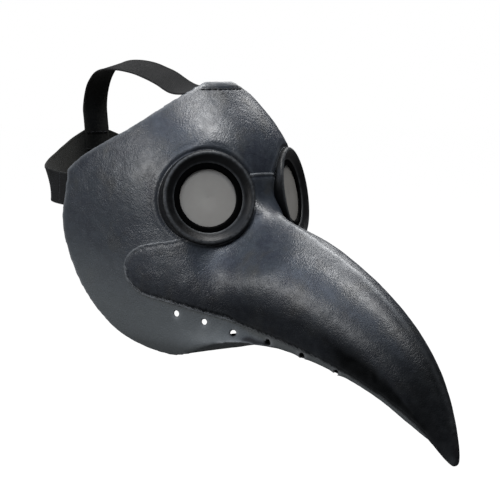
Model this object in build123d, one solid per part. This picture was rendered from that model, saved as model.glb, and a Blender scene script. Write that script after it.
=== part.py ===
from build123d import *
import math
import os

# Plague doctor mask, in millimetres.
# Frame: +Z up, the face looks along -Y, the wearer's left is +X.
# The origin is the midpoint between the two lens centres.

# ---- driving dimensions ----
WALL = 2.2                   # thickness of the moulded leather
FLANGE = 1.6                 # thickness of the beak edge where it laps the cheek
GAP = 0.15                   # clearance between pieces that lie on each other
LENS_SPACING = 88.0          # between the lens centres
EYE_SPLAY = 30.0             # degrees each eye is turned outwards
EYE_TILT = 9.0               # degrees each eye is tilted upwards
RING_RADIUS = 36.4           # outside of the eye ring
LIP_RADIUS = 34.0            # crest of the rolled lip
LIP_HEIGHT = 5.8             # crest of the lip in front of the lens face
LIP_DROPS = (0.9, 0.25, 0.6, 2.2)  # fall from the crest at the lip's corners, inside to outside
FUNNEL_RADIUS = 27.0         # inner end of the funnel
FUNNEL_HEIGHT = 2.2          # inner end of the funnel in front of the lens face
SLEEVE_RADIUS = 28.8         # part of the ring that passes through the shell
EYE_HOLE_RADIUS = 29.0       # hole in the shell for the sleeve
LENS_RADIUS = 26.6
LENS_THICKNESS = 1.8
SIGHT_RADIUS = 22.0          # clear radius inside the retainer
RETAINER_HEIGHT = 1.8        # retainer in front of the lens face
RETAINER_CHAMFER = (1.0, 0.8)  # radial and axial size of the chamfer towards the glass
LEDGE_RADIUS = 23.5          # shoulder behind the lens
LEDGE_THICKNESS = 1.6
RING_DEPTH = 14.0            # how far the ring wall can reach back to the shell
SOCKET_FLOOR = 1.5           # the beak is let in under the ring, down to this height
SOCKET_RADIUS = 37.4         # radius of that round socket
VENT_DIAMETER = 4.2
STRAP_WIDTH = 26.0
STRAP_THICKNESS = 1.4
TEMPLE_X = 80.0              # back strap, distance from the midplane at the temples
TEMPLE_Y = 126.0             # where the back strap leaves the shell
TEMPLE_Z = 3.0
SIDE_END_Y = 146.0           # where the straight side of the back strap starts to bend
SIDE_END_Z = 5.0
STITCH_RADIUS = 0.45
FOREHEAD_STITCHES = 9
FOREHEAD_STITCH_PITCH = 5.0
FOREHEAD_SEAM_Z = 82.0
STITCH_LIFT = 0.05           # clearance under the stitches
JUNCTION_ROWS = (31.0, 45.0)  # heights of the two rows that join the straps
JUNCTION_STITCHES = 5
JUNCTION_STITCH_PITCH = 4.5
JUNCTION_STITCH_LENGTH = 2.8
FLANGE_WIDTH = 9.0           # how far the beak edge laps over the face shell
REACH = 130.0                # half length of cutting prisms, clear of the mask

# Level sections of the head shape, bottom to top:
# height, front, bluntness of the front, half width, cheek fullness, rear
HEAD_SECTIONS = [
    (-130, -30, 24, 52, -20, 60),
    (-105, -65, 30, 70, -48, 92),
    (-80, -60, 32, 78, -18, 112),
    (-50, -38, 44, 82, -6, 124),
    (-20, -18, 52, 84, 2, 130),
    (10, -14, 53, 84, 6, 131),
    (35, -10, 46, 80, 12, 126),
    (60, 6, 33, 73, 26, 118),
    (80, 25, 24, 62, 44, 112),
    (100, 48, 18, 48, 66, 106),
]

# Fan sections of the beak, base to tip:
# ridge (y, z), seam (y, z), half width at the seam, half width at the belly
BEAK_SECTIONS = [
    ((28, 14), (45, -78), 60, 68),
    ((-5, 3), (10, -85.5), 53, 61),
    ((-45, -18), (-34, -95), 44, 50),
    ((-88, -38), (-72, -105.5), 36, 42),
    ((-130, -61), (-108, -117.5), 28, 34),
    ((-165, -88), (-140, -131), 21, 27),
    ((-190, -116), (-168, -147), 14, 19),
    ((-207, -149), (-190, -164.5), 8, 11),
    ((-214, -182), (-211, -185), 2, 3),
]
BELLY_HEIGHT = 0.6           # belly of a beak section, as a share of ridge to seam
TUCK_ANGLE = math.radians(76)  # arc of a beak section from the belly down to the seam

# Upright sections of the strip under the beak: y, top, bottom, half width
STRIP_SECTIONS = [
    (-15, -76, -102, 44),
    (-40, -86, -108.5, 40),
    (-72, -99, -113.2, 33),
    (-108, -111, -124, 25),
    (-140, -124.5, -137.5, 18),
    (-168, -140.5, -155, 11),
    (-190, -157.5, -170, 5),
    (-199, -165, -176, 2.6),
]

# Side view outline (y, z) of the rear edge of the shell, forehead to chin
FOREHEAD_EDGE = [(35, 88), (42, 71), (73, 47), (122, 18.5)]
CHEEK_EDGE = [
    (122, 18.5), (124, -4), (127, -20), (120, -51), (102, -82),
    (78, -106), (47, -119.5), (14, -121), (-17, -111), (-50, -108.5),
]
NECK_EDGE_Y = 8              # the underside is closed in front of this
OUTLINE_TOP = 88             # height of the straight front part of the side view outline

# Side view outline (y, z) of the beak edge: brow, under the ring, round the lobe
BROW = (-10, 19.5)
LOBE_MIDDLE = (-20, -45)     # point that the lapped edge is drawn in towards
SEAM_DROP = 3                # how far the beak's outline passes under its tip
LOBE_EDGE = [
    (-4, 0), (4, -26), (22, -31.5), (38, -34.5), (50, -40), (58.5, -50),
    (57.5, -64), (48, -73.5), (23, -80.5), (-8, -87.5), (-34, -94.5),
]

# Vent holes (y, z) along the strip under the beak
VENTS = [(13.5, -88), (-9, -93), (-31, -100), (-57, -106.5), (-86, -114.3), (-115, -124.2)]

# Centre lines of the straps
STRAP_ANCHOR = [(-76.4, 84, TEMPLE_Z), (-78.4, 98, TEMPLE_Z), (-79.8, 111, TEMPLE_Z)]
BACK_STRAP = [
    (-79.3, 149, 6), (-76, 156, 8.5), (-66, 165, 13), (-48, 175, 20), (-25, 182.5, 31), (0, 185, 38),
]
TOP_STRAP_FRONT = [
    (24, 71.5), (32, 80), (40, 83.5), (52, 81.5), (66, 80.5),
    (80, 83.5), (98, 90), (118, 96), (138, 99.5),
]
TOP_STRAP_REAR = [
    (150, 100.5), (164, 99), (176, 92.5), (183, 80), (185.5, 66),
    (184, 56), (182.6, 47), (182.6, 37), (182.6, 27),
]


# ---- base shapes ----
def head_solid(grow):
    """Solid head shape, with every level section grown outwards."""
    wires = []
    for height, front, bluntness, half_width, fullness, rear in HEAD_SECTIONS:
        tip = front - grow
        blunt = bluntness + grow
        side = half_width + grow
        nose = (0, tip, height)
        right = Bezier(nose, (blunt, tip, height), (side, fullness, height), (side, rear, height))
        left = Bezier(nose, (-blunt, tip, height), (-side, fullness, height), (-side, rear, height))
        back = Line((side, rear, height), (-side, rear, height))
        wires.append(Wire([right.edge(), back.edge(), left.edge()]))
    return Solid.make_loft(wires)


def beak_wire(section, grow, drop):
    """Outline of one fan section; drop carries it straight on below the seam."""
    ridge, seam, seam_width, belly_width = section
    length = math.dist(ridge, seam)
    down_y = (seam[0] - ridge[0]) / length
    down_z = (seam[1] - ridge[1]) / length
    half = []
    for step in range(1, 5):
        turn = step / 4 * math.pi / 2
        depth = BELLY_HEIGHT * (1 - math.cos(turn))
        half.append(((belly_width + grow) * math.sin(turn), depth))
    for step in range(1, 4):
        turn = step / 3 * TUCK_ANGLE
        share = math.sin(turn) / math.sin(TUCK_ANGLE)
        width = seam_width + (belly_width - seam_width) * math.cos(turn) + grow
        half.append((width, BELLY_HEIGHT + (1 - BELLY_HEIGHT) * share))

    def place(across, depth):
        along = depth * (length + grow) - grow
        return (across, ridge[0] + down_y * along, ridge[1] + down_z * along)

    right = [place(across, depth) for across, depth in half]
    left = [place(-across, depth) for across, depth in reversed(half)]
    curve = Spline(*left, place(0, 0), *right)
    corners = [right[-1], left[0]]
    if drop:
        seam_across, seam_depth = half[-1]
        low_depth = seam_depth + drop / length
        corners[1:1] = [place(seam_across, low_depth), place(-seam_across, low_depth)]
    return Wire(curve.edges() + Polyline(*corners).edges())


def beak_solid(grow, drop=0, sections=BEAK_SECTIONS):
    """Solid beak shape lofted through its fan sections."""
    return Solid.make_loft([beak_wire(section, grow, drop) for section in sections])


def strip_solid(grow, lift=0):
    """Solid channel under the beak; lift raises its top."""
    faces = []
    for y, top, bottom, half_width in STRIP_SECTIONS:
        high = top + lift
        low = bottom - grow
        side = half_width + grow
        plane = Plane(origin=(0, y, (high + low) / 2), x_dir=(1, 0, 0), z_dir=(0, -1, 0))
        faces.append(plane * Rectangle(2 * side, high - low))
    return loft(faces).solid()


def beak_body(grow):
    """Beak shape with a round socket let in under each eye ring."""
    depth = RING_RADIUS
    height = SOCKET_FLOOR + grow + depth / 2
    socket = eye_plane().location * Location((0, 0, height)) * Cylinder(SOCKET_RADIUS - grow, depth)
    socket = socket.solid()
    drop = 3 * WALL if grow < 0 else 0
    sections = BEAK_SECTIONS[:-1] if grow < 0 else BEAK_SECTIONS
    return largest(beak_solid(grow, drop, sections).cut(socket).cut(mirrored(socket)))


def side_prism(*lines):
    """Prism right across the mask, from lines drawn in the side view."""
    edges = [edge for line in lines for edge in (Plane.YZ * line).edges()]
    return extrude(Face(Wire(edges)), REACH, both=True).solid()


def largest(shape):
    """The biggest solid left by a cut or an intersection."""
    return max(shape.solids(), key=lambda piece: piece.volume)


def mirrored(shape):
    """The same piece on the other side of the face."""
    return shape.mirror(Plane.YZ)


def surface_point(solid, start, direction):
    """First point and outward normal where a ray meets a solid."""
    hits = solid.find_intersection_points(Axis(start, direction))
    point, normal = min(hits, key=lambda hit: (Vector(start) - hit[0]).length)
    if normal.dot(Vector(direction)) > 0:
        normal = -normal
    return point, normal


# ---- side view outlines ----
FAR = 3 * REACH              # well in front of the tip of the beak
lower_edge_z = CHEEK_EDGE[-1][1]
outline = side_prism(
    Spline(*FOREHEAD_EDGE),
    Spline(*CHEEK_EDGE),
    Polyline(CHEEK_EDGE[-1], (-FAR, lower_edge_z), (-FAR, OUTLINE_TOP), FOREHEAD_EDGE[0]),
)
# The hollow runs out through the back and the neck, but leaves a floor under the chin.
floor_z = lower_edge_z + WALL
rear_y = 1.2 * REACH
hollow_outline = side_prism(
    Polyline(
        (NECK_EDGE_Y, floor_z), (NECK_EDGE_Y, -REACH), (rear_y, -REACH), (rear_y, REACH),
        (-FAR, REACH), (-FAR, floor_z), (NECK_EDGE_Y, floor_z),
    ),
)


def beak_outline(inset):
    """Side view region of the beak, with its edge on the face drawn in by inset."""
    edge = []
    for y, z in [BROW] + LOBE_EDGE:
        share = inset / math.dist((y, z), LOBE_MIDDLE)
        edge.append((y + (LOBE_MIDDLE[0] - y) * share, z + (LOBE_MIDDLE[1] - z) * share))
    tip_y, tip_z = BEAK_SECTIONS[-1][1]
    low_z = tip_z - SEAM_DROP
    seam = [edge[-1]] + [section[1] for section in BEAK_SECTIONS[3:-1]] + [(tip_y, low_z)]
    brow = edge[0]
    return side_prism(
        Spline(*edge),
        Spline(*seam),
        Polyline(seam[-1], (-FAR, low_z), (-FAR, brow[1]), brow),
    )


# ---- eye rings, drawn about a local Z axis that points out of the eye ----
def eye_plane():
    """Plane of the right lens face; its Z axis is the line of sight."""
    splay = math.radians(EYE_SPLAY)
    tilt = math.radians(EYE_TILT)
    sight = (-math.sin(splay) * math.cos(tilt), -math.cos(splay) * math.cos(tilt), math.sin(tilt))
    return Plane(origin=(-LENS_SPACING / 2, 0, 0), x_dir=(-sight[1], sight[0], 0), z_dir=sight)


def turned(points):
    """Ring turned from a closed (radius, height) outline, placed on the right eye."""
    outline_points = [(radius, 0, height) for radius, height in points]
    ring = revolve(Face(Wire(Polyline(*outline_points, close=True).edges())), Axis.Z)
    return (eye_plane().location * ring).solid()


def eye_cylinder(radius):
    """Cylinder along the line of sight of the right eye, long enough to pass the shell."""
    return (eye_plane().location * Cylinder(radius, 4 * RING_DEPTH)).solid()


def eye_bezel(outer_surfaces):
    """Raised ring whose back lies on the shell, with a sleeve through the eye hole."""
    lip_width = RING_RADIUS - LIP_RADIUS
    funnel_drop, inner_drop, outer_drop, side_drop = LIP_DROPS
    ledge_top = -LENS_THICKNESS - GAP
    ring = turned([
        (LEDGE_RADIUS, ledge_top),
        (LENS_RADIUS + GAP, ledge_top),
        (LENS_RADIUS + GAP, RETAINER_HEIGHT + GAP),
        (FUNNEL_RADIUS, FUNNEL_HEIGHT),
        (LIP_RADIUS - lip_width, LIP_HEIGHT - funnel_drop),
        (LIP_RADIUS - lip_width / 2, LIP_HEIGHT - inner_drop),
        (LIP_RADIUS, LIP_HEIGHT),
        (LIP_RADIUS + lip_width / 2, LIP_HEIGHT - outer_drop),
        (RING_RADIUS, LIP_HEIGHT - side_drop),
        (RING_RADIUS, -RING_DEPTH),
        (SLEEVE_RADIUS, -RING_DEPTH),
        (SLEEVE_RADIUS, ledge_top - LEDGE_THICKNESS),
        (LEDGE_RADIUS, ledge_top - LEDGE_THICKNESS),
    ])
    sleeve_space = eye_cylinder(SLEEVE_RADIUS + GAP / 15)
    for surface in outer_surfaces:
        ring = ring.cut(surface.cut(sleeve_space))
    return largest(ring)


def lens():
    """Flat round lens resting on the shoulder of the ring."""
    return turned([(0, -LENS_THICKNESS), (LENS_RADIUS, -LENS_THICKNESS), (LENS_RADIUS, 0), (0, 0)])


def lens_retainer():
    """Black ring that holds the lens down, chamfered towards the glass."""
    across, down = RETAINER_CHAMFER
    return turned([
        (SIGHT_RADIUS, GAP),
        (LENS_RADIUS, GAP),
        (LENS_RADIUS, RETAINER_HEIGHT),
        (SIGHT_RADIUS + across, RETAINER_HEIGHT),
        (SIGHT_RADIUS, RETAINER_HEIGHT - down),
    ])


# ---- shells ----
head_outer = head_solid(0)
beak_outer = beak_body(0)
beak_hollow = beak_body(-WALL)
right_eye_hole = eye_cylinder(EYE_HOLE_RADIUS)


def vent_cutters():
    """Cylinders square to the wall at each vent hole of the right side."""
    wall = largest(head_outer.intersect(outline)).fuse(strip_solid(0))
    cutters = []
    for y, z in VENTS:
        point, normal = surface_point(wall, (-REACH, y, z), (1, 0, 0))
        plane = Plane(origin=point, z_dir=normal)
        cutters.append((plane.location * Cylinder(VENT_DIAMETER / 2, 4 * WALL)).solid())
    return cutters


def face_shell():
    """Half mask with the vented strip that runs on under the beak."""
    outer = largest(head_outer.intersect(outline)).fuse(strip_solid(0))
    inner = largest(head_solid(-WALL).intersect(hollow_outline)).fuse(strip_solid(-WALL, lift=3 * WALL))
    nose_opening = beak_outline(FLANGE_WIDTH).cut(strip_solid(0))
    shell = outer.cut(inner).cut(nose_opening)
    for cutter in [right_eye_hole] + vent_cutters():
        shell = shell.cut(cutter).cut(mirrored(cutter))
    return largest(shell)


def beak_shell():
    """Hollow beak with a flange that laps over the brow and the cheeks."""
    outer = beak_outer.fuse(head_solid(GAP + FLANGE))
    inner = beak_hollow.fuse(head_solid(GAP))
    shell = largest(outer.intersect(beak_outline(0))).cut(inner).cut(strip_solid(GAP))
    shell = shell.cut(right_eye_hole).cut(mirrored(right_eye_hole))
    return largest(shell)


# ---- straps ----
def ribbon(points, across, width=STRAP_WIDTH):
    """Flat strap along a smooth curve; across is its width direction."""
    path = Spline(*points)
    steps = 2 * len(points)
    faces = []
    for step in range(steps + 1):
        share = step / steps
        tangent = path % share
        side = Vector(across) - tangent * Vector(across).dot(tangent)
        plane = Plane(origin=path @ share, x_dir=side, z_dir=tangent)
        faces.append(plane * Rectangle(width, STRAP_THICKNESS))
    return loft(faces).solid()


def midplane_ribbon(points):
    """Strap along the middle of the head, its width level."""
    return ribbon([(0, y, z) for y, z in points], (1, 0, 0))


def strap_anchor():
    """Fixed end of the back strap, flat against the inside of the right temple."""
    return ribbon(STRAP_ANCHOR, (0, 0, 1))


def strap_side():
    """Right side of the back strap, rounded where it turns about the temple."""
    temple = (-TEMPLE_X, TEMPLE_Y, TEMPLE_Z)
    end = Location(temple, (0, 90, 0)) * Cylinder(STRAP_WIDTH / 2, STRAP_THICKNESS)
    run = ribbon([temple, (-TEMPLE_X, SIDE_END_Y, SIDE_END_Z)], (0, 0, 1))
    return end.fuse(run).solid()


def strap_rear():
    """Back strap behind the head, from one side bend to the other."""
    other_side = [(-x, y, z) for x, y, z in reversed(BACK_STRAP[:-1])]
    return ribbon(BACK_STRAP + other_side, (0, 0, 1))


# ---- thread ----
def stitch(centre, direction, length):
    """One short thread stitch lying along a direction."""
    plane = Plane(origin=centre, z_dir=direction)
    return (plane.location * Cylinder(STITCH_RADIUS, length)).solid()


def forehead_stitching():
    """Row of stitches across the top of the forehead."""
    stitches = []
    for index in range(FOREHEAD_STITCHES):
        x = (index - (FOREHEAD_STITCHES - 1) / 2) * FOREHEAD_STITCH_PITCH
        point, normal = surface_point(head_outer, (x, -REACH, FOREHEAD_SEAM_Z), (0, 1, 0))
        along = Vector(0, 0, 1).cross(normal)
        centre = point + normal * (STITCH_RADIUS + STITCH_LIFT)
        stitches.append(stitch(centre, along, 0.6 * FOREHEAD_STITCH_PITCH))
    return Compound(stitches)


def junction_stitching():
    """Two rows of stitches that join the top strap to the back strap."""
    y = TOP_STRAP_REAR[-1][0] - STRAP_THICKNESS / 2 - STITCH_RADIUS - 2 * GAP
    stitches = []
    for z in JUNCTION_ROWS:
        for index in range(JUNCTION_STITCHES):
            x = (index - (JUNCTION_STITCHES - 1) / 2) * JUNCTION_STITCH_PITCH
            stitches.append(stitch((x, y, z), (1, 0, 0), JUNCTION_STITCH_LENGTH))
    return Compound(stitches)


# ---- build and save every piece ----
face = face_shell()
beak = beak_shell()
lap = largest(head_solid(FLANGE + 2 * GAP).intersect(beak_outline(-GAP)))
bezel = eye_bezel([lap, head_solid(GAP), beak_body(GAP)])

nodes = {
    "face_shell": face,
    "beak_shell": beak,
    "eye_bezel_right": bezel,
    "eye_bezel_left": mirrored(bezel),
    "lens_right": lens(),
    "lens_left": mirrored(lens()),
    "lens_retainer_right": lens_retainer(),
    "lens_retainer_left": mirrored(lens_retainer()),
    "forehead_stitching": forehead_stitching(),
    "strap_anchor_right": strap_anchor(),
    "strap_anchor_left": mirrored(strap_anchor()),
    "strap_side_right": strap_side(),
    "strap_side_left": mirrored(strap_side()),
    "strap_rear": strap_rear(),
    "top_strap_front": midplane_ribbon(TOP_STRAP_FRONT),
    "top_strap_rear": midplane_ribbon(TOP_STRAP_REAR),
    "junction_stitching": junction_stitching(),
}

os.makedirs("parts", exist_ok=True)
for name, piece in nodes.items():
    export_step(piece, f"parts/{name}.step")
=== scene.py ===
import math

import bmesh
import bpy
import numpy as np
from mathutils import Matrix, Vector
from mathutils.bvhtree import BVHTree


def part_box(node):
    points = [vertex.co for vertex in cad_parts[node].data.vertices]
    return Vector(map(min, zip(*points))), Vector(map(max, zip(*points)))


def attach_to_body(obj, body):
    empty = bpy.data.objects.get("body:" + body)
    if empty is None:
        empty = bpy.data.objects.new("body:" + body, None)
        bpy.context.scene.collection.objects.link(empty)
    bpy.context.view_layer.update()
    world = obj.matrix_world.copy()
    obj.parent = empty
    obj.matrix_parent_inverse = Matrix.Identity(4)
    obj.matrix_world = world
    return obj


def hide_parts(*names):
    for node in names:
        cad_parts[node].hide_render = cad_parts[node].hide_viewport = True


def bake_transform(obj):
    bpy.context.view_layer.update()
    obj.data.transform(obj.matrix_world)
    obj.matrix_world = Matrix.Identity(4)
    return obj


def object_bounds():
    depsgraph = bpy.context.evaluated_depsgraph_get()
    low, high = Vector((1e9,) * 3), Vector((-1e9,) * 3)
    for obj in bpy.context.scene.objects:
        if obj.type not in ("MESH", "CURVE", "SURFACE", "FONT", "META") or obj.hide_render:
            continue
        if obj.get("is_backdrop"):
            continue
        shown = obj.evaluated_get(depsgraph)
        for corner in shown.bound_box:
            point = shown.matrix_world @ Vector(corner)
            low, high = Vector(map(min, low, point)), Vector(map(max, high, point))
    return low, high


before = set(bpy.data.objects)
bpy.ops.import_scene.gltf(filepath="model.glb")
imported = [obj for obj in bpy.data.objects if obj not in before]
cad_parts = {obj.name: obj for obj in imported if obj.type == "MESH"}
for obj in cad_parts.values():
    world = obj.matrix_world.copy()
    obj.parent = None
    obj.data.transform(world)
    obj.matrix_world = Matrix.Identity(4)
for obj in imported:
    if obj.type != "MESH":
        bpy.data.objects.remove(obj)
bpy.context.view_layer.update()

# Plague doctor mask. Lengths in the constants are millimetres; meshes are built in metres.
MM = 0.001
VOXEL = 1.15                 # grid of the leather pieces
FACE_ROUNDS = 50             # fairing of each shell, after its free edges are marked
BEAK_ROUNDS = 60
FIRST_ROUNDS = 16            # fairing of the whole leather mesh, rims included
RIM_ROUNDS = 16              # evening of the free edges
LAST_ROUNDS = 10             # fairing after the leather is pressed under the rings
CHIN_ROUNDS = 60             # softening of the chin where it turns into the strip
BRIDGE_ROUNDS = 150          # softening of the bridge and the root of the beak
RIM_STEPS = 2                # mesh steps by which the zone of a free edge is widened
EDGE_STEPS = 8               # reach of the distance to a free edge, in mesh steps
EDGE_GROOVE = 1.3            # from the zone of the free edge to the groove along the edge of the beak
BELLY_START = (58.0, 24.0, 62.0)  # of the beak, as distances along x, y and z from the origin
BELLY_REACH = 26.0

LENS_RADIUS = 26.5
RING_RADIUS = 36.4
RING_HOLE_RADIUS = 27.0
RING_SEGMENTS = 160
RING_SEAT_HEIGHT = 1.2       # top of the leather at a ring, in front of the lens face
LIP_GROOVE_RADIUS = 37.3     # groove in the leather round each eye ring
SEAT_PROBE_RADIUS = 38.8     # where the height of the leather beside a ring is taken
SEAT_BEARINGS = 120
SEAT_BLUR = 40               # smoothing of those heights round the ring
PRESS_REACH = 34.0           # beyond a ring, over which the leather rises again
PRESS_SOFTNESS = 0.8
WALL = 2.4                   # from the outer to the inner skin of the leather

FOREHEAD_SEAM_Z = 82.0
HEM_HALF_WIDTH = 23.0
STITCH_COUNT = 9
STITCH_PITCH = 5.0
STRAP_WIDTH = 26.0
STRAP_THICKNESS = 1.5
RIBS = 17                    # lengthwise ribs across the elastic

rng = np.random.default_rng(7)


# ---------------------------------------------------------------- frame facts
def node_points(node):
    """Vertices of a CAD node in millimetres."""
    return np.array([v.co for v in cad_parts[node].data.vertices], float) / MM


def eye_axis(side):
    """Centre of the front face and the line of sight of one lens, from its CAD disc."""
    points = node_points(f"lens_{side}")
    centre = (points.min(0) + points.max(0)) / 2
    rows = np.linalg.svd(points - centre, full_matrices=False)[2]
    sight = rows[2] if rows[2][1] < 0 else -rows[2]
    front = ((points - centre) @ sight).max()
    return centre + sight * front, sight


EYES = {side: eye_axis(side) for side in ("right", "left")}


# ---------------------------------------------------------------- node material helpers
class Tree:
    """Short way to write a node material."""

    def __init__(self, name):
        self.material = bpy.data.materials.new(name)
        self.material.use_nodes = True
        self.nodes = self.material.node_tree.nodes
        self.links = self.material.node_tree.links
        self.shader = self.nodes["Principled BSDF"]

    def add(self, kind, settings=None, **inputs):
        """Adds a node; inputs are values or other nodes' output sockets."""
        node = self.nodes.new("ShaderNode" + kind)
        for key, value in (settings or {}).items():
            setattr(node, key, value)
        for key, value in inputs.items():
            self.feed(node, key, value)
        return node

    def feed(self, node, key, value):
        """Sets or links an input, named with underscores or by i and its number."""
        if key[0] == "i" and key[1:].isdigit():
            socket = node.inputs[int(key[1:])]
        else:
            socket = node.inputs[key.replace("_", " ")]
        if isinstance(value, bpy.types.NodeSocket):
            self.links.new(value, socket)
        else:
            socket.default_value = value

    def math(self, operation, first, second=0.5):
        return self.add("Math", {"operation": operation}, i0=first, i1=second).outputs[0]

    def times(self, first, second):
        return self.math("MULTIPLY", first, second)

    def plus(self, first, second):
        return self.math("ADD", first, second)

    def mix(self, share, first, second):
        """Colour mix."""
        node = self.add("Mix", {"data_type": "RGBA"})
        self.feed(node, "i0", share)
        self.feed(node, "i6", first)
        self.feed(node, "i7", second)
        return node.outputs[2]

    def blend(self, share, low, high):
        """Number mix."""
        node = self.add("Mix", {"data_type": "FLOAT"})
        self.feed(node, "i0", share)
        self.feed(node, "i2", low)
        self.feed(node, "i3", high)
        return node.outputs[0]

    def noise(self, vector, scale, detail=3.0, roughness=0.55):
        node = self.add("TexNoise", None, Vector=vector, Scale=scale, Detail=detail, Roughness=roughness)
        return node.outputs[0]

    def voronoi(self, vector, scale, feature):
        return self.add("TexVoronoi", {"feature": feature}, Vector=vector, Scale=scale).outputs["Distance"]

    def ramp(self, value, low, high, low_value=0.0, high_value=1.0):
        """Number carried over from low..high to low_value..high_value, clamped."""
        node = self.add("MapRange", {"clamp": True}, i0=value, i1=low, i2=high)
        self.feed(node, "i3", low_value)
        self.feed(node, "i4", high_value)
        return node.outputs[0]

    def attribute(self, name):
        return self.add("Attribute", {"attribute_name": name}).outputs["Fac"]

    def millimetres(self):
        """Object coordinates in millimetres."""
        place = self.add("TexCoord").outputs["Object"]
        return self.add("VectorMath", {"operation": "SCALE"}, i0=place, Scale=1000.0).outputs[0]

    def stretched(self, vector, scale, turn=(0.0, 0.0, 0.0)):
        return self.add("Mapping", None, Vector=vector, Scale=scale, Rotation=turn).outputs[0]

    def bump(self, height, distance, strength=1.0, normal=None):
        """Bump whose height is in units of distance metres."""
        node = self.add("Bump", None, Strength=strength, Distance=distance, Height=height)
        if normal is not None:
            self.feed(node, "Normal", normal)
        return node.outputs[0]

    def finish(self, **inputs):
        """Sets the shader's inputs and gives the material."""
        for key, value in inputs.items():
            self.feed(self.shader, key, value)
        return self.material


# ---------------------------------------------------------------- materials
DEEP_SLATE = (0.0175, 0.0215, 0.033, 1)
SLATE = (0.029, 0.0365, 0.046, 1)
LIGHT_SLATE = (0.046, 0.054, 0.066, 1)
SMUDGE = (0.013, 0.015, 0.021, 1)
BROWNISH = (0.044, 0.041, 0.034, 1)
FILL_LIGHT_PAINT = (0.128, 0.140, 0.144, 1)
SHADE = (0.0022, 0.0025, 0.0027, 1)
WORN_AND_HIGHLIT = (0.20, 0.21, 0.22, 1)
DARK_LINING = (0.012, 0.012, 0.013, 1)
LINING = (0.028, 0.028, 0.030, 1)


def leather_material():
    """Moulded slate leather: mottled, finely pebbled and burnished on high spots, with painted shade in
    hollows, under the beak and towards its tip, a painted highlight along the beak's spine and painted fill
    light on the lower cheeks, chin and rear.
    """
    t = Tree("slate_leather")
    place = t.millimetres()
    painted_light_tone = t.attribute("painted_light_tone")
    wear_and_highlight = t.attribute("wear_and_highlight")
    inside = t.attribute("inside")
    painted_fill_light = t.attribute("painted_fill_light")
    cloud = t.noise(place, 0.035, 4.0, 0.6)
    mottle = t.noise(place, 0.13, 4.0, 0.65)
    smudge = t.noise(t.stretched(place, (1.0, 0.45, 1.4), (0.5, 0.0, 0.3)), 0.3, 3.0)
    brown = t.noise(place, 0.045, 3.0)
    base = t.mix(t.ramp(cloud, 0.36, 0.64), DEEP_SLATE, SLATE)
    base = t.mix(t.ramp(mottle, 0.40, 0.72), base, LIGHT_SLATE)
    base = t.mix(t.times(t.ramp(smudge, 0.45, 0.75), 0.5), base, SMUDGE)
    base = t.mix(t.times(t.ramp(brown, 0.52, 0.70), 0.45), base, BROWNISH)
    # painted fill light: the lower cheeks, chin and rear are lighter
    base = t.mix(t.times(painted_fill_light, 0.85), base, FILL_LIGHT_PAINT)
    # painted shade: the colour falls to near black in hollows, under the beak and towards its tip
    dark = t.mix(painted_light_tone, SHADE, base)
    # lighter where worn on ridges and edges, and a painted highlight along the beak's spine
    worn_and_highlit = t.mix(t.times(wear_and_highlight, t.ramp(mottle, 0.3, 0.6, 0.45, 1.0)), dark, WORN_AND_HIGHLIT)
    lining = t.mix(t.noise(place, 0.25), DARK_LINING, LINING)
    colour = t.mix(inside, worn_and_highlit, lining)

    pebble = t.voronoi(place, 0.95, "SMOOTH_F1")
    crease = t.voronoi(t.stretched(place, (0.55, 0.9, 0.55), (0.7, 0.2, 0.4)), 0.42, "DISTANCE_TO_EDGE")
    height = t.plus(t.times(pebble, 0.75), t.times(t.noise(place, 2.6, 2.0), 0.35))
    height = t.plus(height, t.times(t.ramp(crease, 0.0, 0.16), 0.22))
    patchy = t.ramp(t.noise(place, 0.06, 2.0), 0.35, 0.65, 0.45, 1.0)
    grain = t.bump(height, 0.00032, t.times(patchy, 0.85))
    dents = t.bump(t.noise(place, 0.09, 2.0), 0.0010, 0.3, grain)

    gloss = t.math("SUBTRACT", t.ramp(mottle, 0.35, 0.7, 0.42, 0.30), t.times(wear_and_highlight, 0.08))
    # the leather is also rougher under the painted fill light
    gloss = t.plus(gloss, t.times(painted_fill_light, 0.22))
    rough = t.blend(inside, gloss, 0.85)
    # the specular is cut under the painted shade and lowered under the painted fill light
    shine = t.times(t.blend(painted_light_tone, 0.04, 0.60), t.blend(painted_fill_light, 1.0, 0.45))
    return t.finish(Base_Color=colour, Roughness=rough, Normal=dents, Specular_IOR_Level=shine)


def ring_material():
    """Smooth dark leather-covered ring whose lip and inner edge are lighter, from rubbed wear and a painted
    highlight.
    """
    t = Tree("ring_leather")
    place = t.millimetres()
    wear_and_highlight = t.attribute("wear_and_highlight")
    mottle = t.noise(place, 0.2, 4.0, 0.6)
    base = t.mix(t.ramp(mottle, 0.35, 0.7), (0.003, 0.0032, 0.0034, 1), (0.007, 0.0075, 0.0082, 1))
    # painted highlight with wear on the lip crest and the inner edge
    painted_highlight = t.times(wear_and_highlight, t.ramp(t.noise(place, 0.35, 3.0), 0.3, 0.6, 0.35, 1.0))
    colour = t.mix(t.times(painted_highlight, 0.45), base, (0.17, 0.18, 0.19, 1))
    grain = t.voronoi(place, 1.3, "SMOOTH_F1")
    normal = t.bump(t.plus(grain, t.noise(place, 2.5)), 0.00008, 0.6)
    rough = t.ramp(mottle, 0.3, 0.7, 0.36, 0.46)
    return t.finish(Base_Color=colour, Roughness=rough, Normal=normal, Specular_IOR_Level=0.24)


def retainer_material():
    """Dull black plastic with faint specks."""
    t = Tree("black_retainer")
    place = t.millimetres()
    speck = t.noise(place, 1.8, 2.0)
    colour = t.mix(t.ramp(speck, 0.3, 0.8), (0.0008, 0.0008, 0.0008, 1), (0.002, 0.002, 0.0021, 1))
    normal = t.bump(speck, 0.00004, 0.5)
    rough = t.ramp(speck, 0.2, 0.8, 0.5, 0.65)
    return t.finish(Base_Color=colour, Roughness=rough, Normal=normal, Specular_IOR_Level=0.02)


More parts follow.
